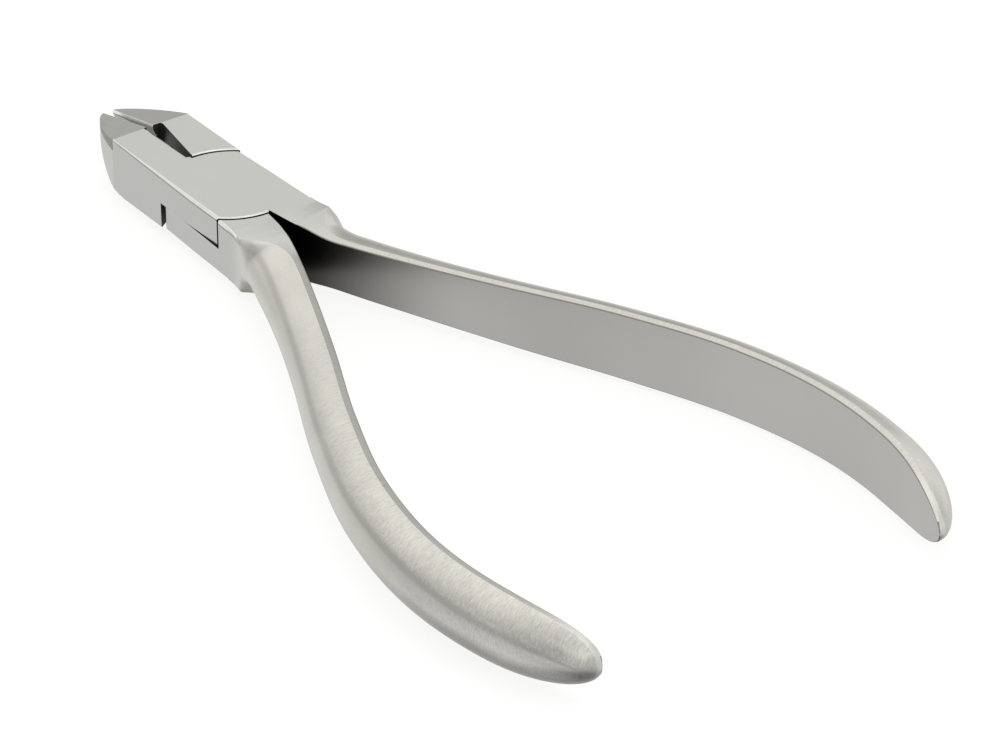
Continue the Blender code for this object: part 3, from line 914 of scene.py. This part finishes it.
def innerSteel(name, look):
    # the handles' flat inner sides, mottled, with painted shade where they come together at the joint
    made, wire = newMaterial(name)
    place = wire.node("TexCoord", {}, {}, 3)
    grain = wire.node("Attribute", {"attribute_name": "grain"}, {}, 1)
    along = wire.node("SeparateXYZ", {}, {0: grain}, 0)
    cloud = place.noise(look["cloud"], 4.0, 0.55)
    fine = place.noise(look["fine"], 2.0, 0.5)
    smear = place.stretched(*look["smear"]).noise(1.0, 3.0, 0.5)
    soft, _ = edgeParts(wire, look["edgeRadius"])
    mottle = cloud.swing(look["cloudTone"]) + fine.swing(look["fineTone"])
    tone = (0.5 + mottle + smear.swing(look["smearTone"])).clamped()
    colour = tone.shade(rgba(look["colour"], look["darker"]), rgba(look["colour"], look["lighter"]))
    far = along.ranged(*look["farFrom"]) * look["farShare"]
    colour = far.shade(colour, rgba(look["colour"], look["farShade"]))
    # painted shade: near black towards the joint, where the two inner sides shade each other
    colour = along.ranged(*look["paintedShadeUntil"]).shade(rgba(look["paintedJointShade"]), colour)
    rough = look["roughness"] + cloud.swing(look["cloudRough"]) + fine.swing(look["fineRough"])
    bump = wire.node("Bump", {}, {
        "Strength": look["bumpStrength"], "Distance": look["bumpDistance"] * mm,
        "Height": fine * 0.6 + cloud * 0.4, "Normal": soft,
    })
    return closeMaterial(made, wire, {
        "Base Color": colour, "Metallic": 1.0, "Normal": bump,
        "Roughness": rough.clamped(*look["roughLimits"]),
    })


wallGrain = {
    "streaks": (1800.0, 1800.0, 120.0), "cloud": 400.0, "roughness": 0.5,
    "streakTone": 0.7, "cloudTone": 0.5, "toneDrop": 0.1, "streakRough": 0.25, "roughLimits": (0.25, 0.8),
    "bumpStrength": 0.3, "bumpDistance": 0.02,
}
# painted shade: the cut-outs' walls are dark and the lap's walls near black, as they lie in shade
gapShadeLook = {**wallGrain, "dark": (0.03, 0.03, 0.028), "light": (0.24, 0.24, 0.23)}
lapShadeLook = {**wallGrain, "dark": (0.006, 0.006, 0.006), "light": (0.03, 0.03, 0.028)}


def gapPaintedShadeSteel(name, look):
    # the walls of the joint and of the cut-outs: dark colours that are painted shade, with upright grinding
    # streaks
    made, wire = newMaterial(name)
    place = wire.node("TexCoord", {}, {}, 3)
    streaks = place.stretched(*look["streaks"]).noise(1.0, 3.0, 0.6)
    cloud = place.noise(look["cloud"], 2.0, 0.5)
    tone = (streaks * look["streakTone"] + cloud * look["cloudTone"] - look["toneDrop"]).clamped()
    rough = look["roughness"] + streaks.swing(look["streakRough"])
    bump = wire.node("Bump", {}, {
        "Strength": look["bumpStrength"], "Distance": look["bumpDistance"] * mm, "Height": streaks,
    })
    return closeMaterial(made, wire, {
        "Base Color": tone.shade(rgba(look["dark"]), rgba(look["light"])),
        "Metallic": 1.0, "Normal": bump, "Roughness": rough.clamped(*look["roughLimits"]),
    })


groundGrain = {
    "cloud": 600.0, "specks": 9000.0, "darker": 0.85, "lighter": 1.15,
    "lineTone": 0.5, "cloudTone": 0.4, "speckTone": 0.25, "lineRough": 0.12, "cloudRough": 0.08,
    "roughLimits": (0.12, 0.8), "paintedHighlight": 1.5, "brightest": 0.96, "paintedEdgeHighlight": 0.6,
    "bumpStrength": 0.25, "bumpDistance": 0.01,
}


def groundMetal(name, look):
    # a ground finish: fine lines one way, with specks and soft clouds, and a painted highlight along its
    # edges
    look = {**groundGrain, **look}
    made, wire = newMaterial(name)
    place = wire.node("TexCoord", {}, {}, 3)
    lines = place.stretched(*look["lines"]).noise(1.0, 3.0, 0.6)
    cloud = place.noise(look["cloud"], 3.0, 0.5)
    specks = place.noise(look["specks"], 2.0, 0.6)
    soft, turn = edgeParts(wire, look["edge"])
    fine = lines.swing(look["lineTone"]) + specks.swing(look["speckTone"])
    tone = (0.5 + fine + cloud.swing(look["cloudTone"])).clamped()
    colour = tone.shade(rgba(look["colour"], look["darker"]), rgba(look["colour"], look["lighter"]))
    paintedHighlight = [min(part * look["paintedHighlight"], look["brightest"]) for part in look["colour"]]
    # painted highlight: the edges are made lighter where the surface turns
    colour = (turn * look["paintedEdgeHighlight"]).shade(colour, rgba(paintedHighlight))
    rough = look["roughness"] + lines.swing(look["lineRough"]) + cloud.swing(look["cloudRough"])
    bump = wire.node("Bump", {}, {
        "Strength": look["bumpStrength"], "Distance": look["bumpDistance"] * mm,
        "Height": lines * 0.6 + specks * 0.4, "Normal": soft,
    })
    return closeMaterial(made, wire, {
        "Base Color": colour, "Metallic": 1.0, "Normal": bump,
        "Roughness": rough.clamped(*look["roughLimits"]),
    })


# each ground metal's colour and roughness, its lines' scale in each direction, and its edges' radius
carbideLines = {"lines": (500.0, 9000.0, 500.0), "edge": 0.05}
carbideLooks = {
    "upper_insert": {**carbideLines, "colour": (0.51, 0.515, 0.49), "roughness": 0.40},
    "lower_insert": {**carbideLines, "colour": (0.49, 0.49, 0.475), "roughness": 0.42},
}
brazeLook = {
    "colour": (0.60, 0.55, 0.43), "roughness": 0.34, "lines": (3000.0, 3000.0, 3000.0), "edge": 0.02,
}
pinLook = {
    "colour": (0.56, 0.56, 0.55), "roughness": 0.27, "lines": (6000.0, 600.0, 600.0), "edge": 0.08,
}
# the ground edges' near-white colour is partly the polished ground finish and partly painted highlight
edgeHighlightLook = {
    "colour": (0.95, 0.95, 0.925), "roughness": 0.24, "lines": (1500.0, 1500.0, 1500.0), "edge": 0.05,
}
sideLook = {
    "colour": (0.30, 0.30, 0.29), "roughness": 0.42, "lines": (500.0, 500.0, 6000.0), "edge": 0.05,
}
# painted shade: the rounded edges of the inner sides are coloured dark
cornerShadeLook = {
    "colour": (0.36, 0.34, 0.30), "roughness": 0.40, "lines": (900.0, 900.0, 900.0), "edge": 0.02,
}

# how strong the crosswise brush is on each half, and how dark the painted shade on the strip beside the
# inner side is
outsides = {
    "upper_half": outsideSteel("upperOutside", {**outsideLook, "brushing": 0.3, "paintedStripShade": 0.94}),
    "lower_half": outsideSteel("lowerOutside", {**outsideLook, "brushing": 1.0, "paintedStripShade": 0.76}),
}
innerCornerShade = groundMetal("innerCornerShade", cornerShadeLook)
groundEdgeHighlight = groundMetal("groundEdgeHighlight", edgeHighlightLook)
insertSide = groundMetal("insertSide", sideLook)
inside = innerSteel("innerSteel", innerLook)
gapShadeWalls = gapPaintedShadeSteel("gapPaintedShadeSteel", gapShadeLook)
lapShadeWalls = gapPaintedShadeSteel("lapPaintedShadeSteel", lapShadeLook)

for name, upper, mirror in (("upper_half", True, 1), ("lower_half", False, -1)):
    half = buildHalf(name + "_finished", upper, mirror)
    half.data.materials.clear()
    for made in (outsides[name], inside, gapShadeWalls, groundEdgeHighlight, lapShadeWalls, innerCornerShade):
        half.data.materials.append(made)
    markHalf(half, upper, mirror)
    toRest(half, upper)
    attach(half, "upper_side" if upper else "lower_side")
    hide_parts(name)
    print("stage:", name, len(half.data.polygons), "faces")

for name, upper, mirror in (("upper_insert", True, 1), ("lower_insert", False, -1)):
    insert = buildInsert(name + "_finished", mirror)
    insert.data.materials.clear()
    for made in (groundMetal(name + "Carbide", carbideLooks[name]), insertSide, groundEdgeHighlight):
        insert.data.materials.append(made)
    markInsert(insert, mirror)
    toRest(insert, upper)
    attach(insert, "upper_side" if upper else "lower_side")
    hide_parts(name)
    print("stage:", name, len(insert.data.polygons), "faces")

for name, look in (("upper_braze", brazeLook), ("lower_braze", brazeLook), ("pivot_pin", pinLook)):
    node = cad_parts[name]
    node.data.materials.clear()
    node.data.materials.append(groundMetal(name + "Metal", look))

# the camera that took the photograph

cameraSizes = {
    "azimuth": 54.843612, "elevation": 31.1605, "roll": -0.677117, "distance": 0.772213,
    "target": (0.048016, 0.003034, 0.004), "lens": 256.943, "sensor": 36.0,
    "nearest": 0.01, "furthest": 20.0,
}


def addCamera(sizes):
    a, e, r = (math.radians(sizes[name]) for name in ("azimuth", "elevation", "roll"))
    back = Vector((math.sin(a) * math.cos(e), -math.cos(a) * math.cos(e), math.sin(e)))
    level = (-back).cross(Vector((0, 0, 1))).normalized()
    rise = level.cross(-back)
    right = level * math.cos(r) + rise * math.sin(r)
    up = rise * math.cos(r) - level * math.sin(r)
    data = bpy.data.cameras.new("camera")
    data.sensor_width = sizes["sensor"]
    data.lens = sizes["lens"]
    data.clip_start = sizes["nearest"]
    data.clip_end = sizes["furthest"]
    camera = bpy.data.objects.new("camera", data)
    bpy.context.collection.objects.link(camera)
    matrix = Matrix((right, up, back)).transposed().to_4x4()
    matrix.translation = Vector(sizes["target"]) + back * sizes["distance"]
    camera.matrix_world = matrix
    bpy.context.scene.camera = camera


addCamera(cameraSizes)

# the studio: a pale floor in a white tent, which is brightest above the jaws' side

studio = {
    "floorSize": 3.0, "floorGap": 0.0003, "floorColour": 0.25, "floorRoughness": 0.9, "floorGlow": 0.84,
    # which way the brightest place lies, and how light the tent is from its far side round to there
    "tilt": 30.7, "turn": 158.5, "warm": (1.0, 0.99, 0.955), "cool": (0.995, 0.995, 1.0),
    "ramp": [
        (-1.0, 0.30), (-0.85, 0.42), (-0.6, 0.62), (-0.35, 0.68), (-0.1, 0.75), (0.12, 0.77),
        (0.3, 0.75), (0.5, 0.71), (0.62, 0.74), (0.78, 0.90), (0.9, 1.0), (1.0, 1.04),
    ],
    # how dark it is straight down, and between which heights that comes in
    "nadir": 0.62, "nadirTo": -0.85, "nadirFrom": -0.55,
    # elevation, azimuth, radius and how much lighter or darker the tent is there
    "patches": [
        (8, 143, 20, -0.38), (10, 112, 26, 0.28), (-30, -160, 32, 0.12), (-33, -112, 32, 0.2),
        (-62, -100, 28, 0.4), (22, -80, 32, -0.27), (80, -80, 28, -0.2), (15, -125, 25, -0.08),
        (-5, -95, 30, -0.09), (57, -9, 42, 0.3), (50, 160, 30, 0.06), (20, -178, 24, 0.06),
    ],
}


def addFloor(sizes):
    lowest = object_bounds()[0].z - sizes["floorGap"]
    reach = sizes["floorSize"]
    mesh = bpy.data.meshes.new("floor")
    corners = [(x * reach, y * reach, lowest) for x, y in ((-1, -1), (1, -1), (1, 1), (-1, 1))]
    mesh.from_pydata(corners, [], [(0, 1, 2, 3)])
    floor = bpy.data.objects.new("floor", mesh)
    bpy.context.collection.objects.link(floor)
    floor.visible_glossy = False
    made, wire = newMaterial("paleFloor")
    mesh.materials.append(closeMaterial(made, wire, {
        "Base Color": rgba([sizes["floorColour"]] * 3), "Roughness": sizes["floorRoughness"],
        "Specular IOR Level": 0.0,
        "Emission Color": rgba((1, 1, 1)), "Emission Strength": sizes["floorGlow"],
    }))
    floor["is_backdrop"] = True


def towards(elevation, azimuth):
    # a direction as its x, y and z
    e, a = math.radians(elevation), math.radians(azimuth)
    return math.cos(e) * math.cos(a), math.cos(e) * math.sin(a), math.sin(e)


def addTent(sizes):
    # all the light: a ramp towards the brightest place, with lighter and darker patches on it
    world = bpy.data.worlds.new("tent")
    bpy.context.scene.world = world
    world.use_nodes = True
    world.node_tree.nodes.clear()
    sky = Wire(world.node_tree)
    direction = sky.node("TexCoord", {}, {}, 0)
    stops = []
    for place, light in sizes["ramp"]:
        share = place * 0.5 + 0.5
        tint = [light * (c * (1 - share) + w * share) for c, w in zip(sizes["cool"], sizes["warm"])]
        stops.append((share, tint))
    nearBrightest = direction.dot(towards(90 - sizes["tilt"], sizes["turn"]))
    colour = sky.node("ValToRGB", {"stops": stops}, {"Fac": nearBrightest * 0.5 + 0.5})
    height = sky.node("SeparateXYZ", {}, {0: direction}, 2)
    strength = height.ranged(sizes["nadirTo"], sizes["nadirFrom"], sizes["nadir"], 1.0)
    for elevation, azimuth, radius, gain in sizes["patches"]:
        nearness = direction.dot(towards(elevation, azimuth))
        strength = strength * nearness.ranged(math.cos(math.radians(radius)), 1.0, 1.0, 1 + gain)
    lit = sky.node("VectorMath", {"operation": "SCALE"}, {0: colour, "Scale": strength})
    glow = sky.node("Background", {}, {"Color": lit, "Strength": 1.0})
    sky.node("OutputWorld", {}, {"Surface": glow})


addFloor(studio)
addTent(studio)
bpy.context.scene.view_settings.view_transform = "Standard"
print("stage: studio and camera set")
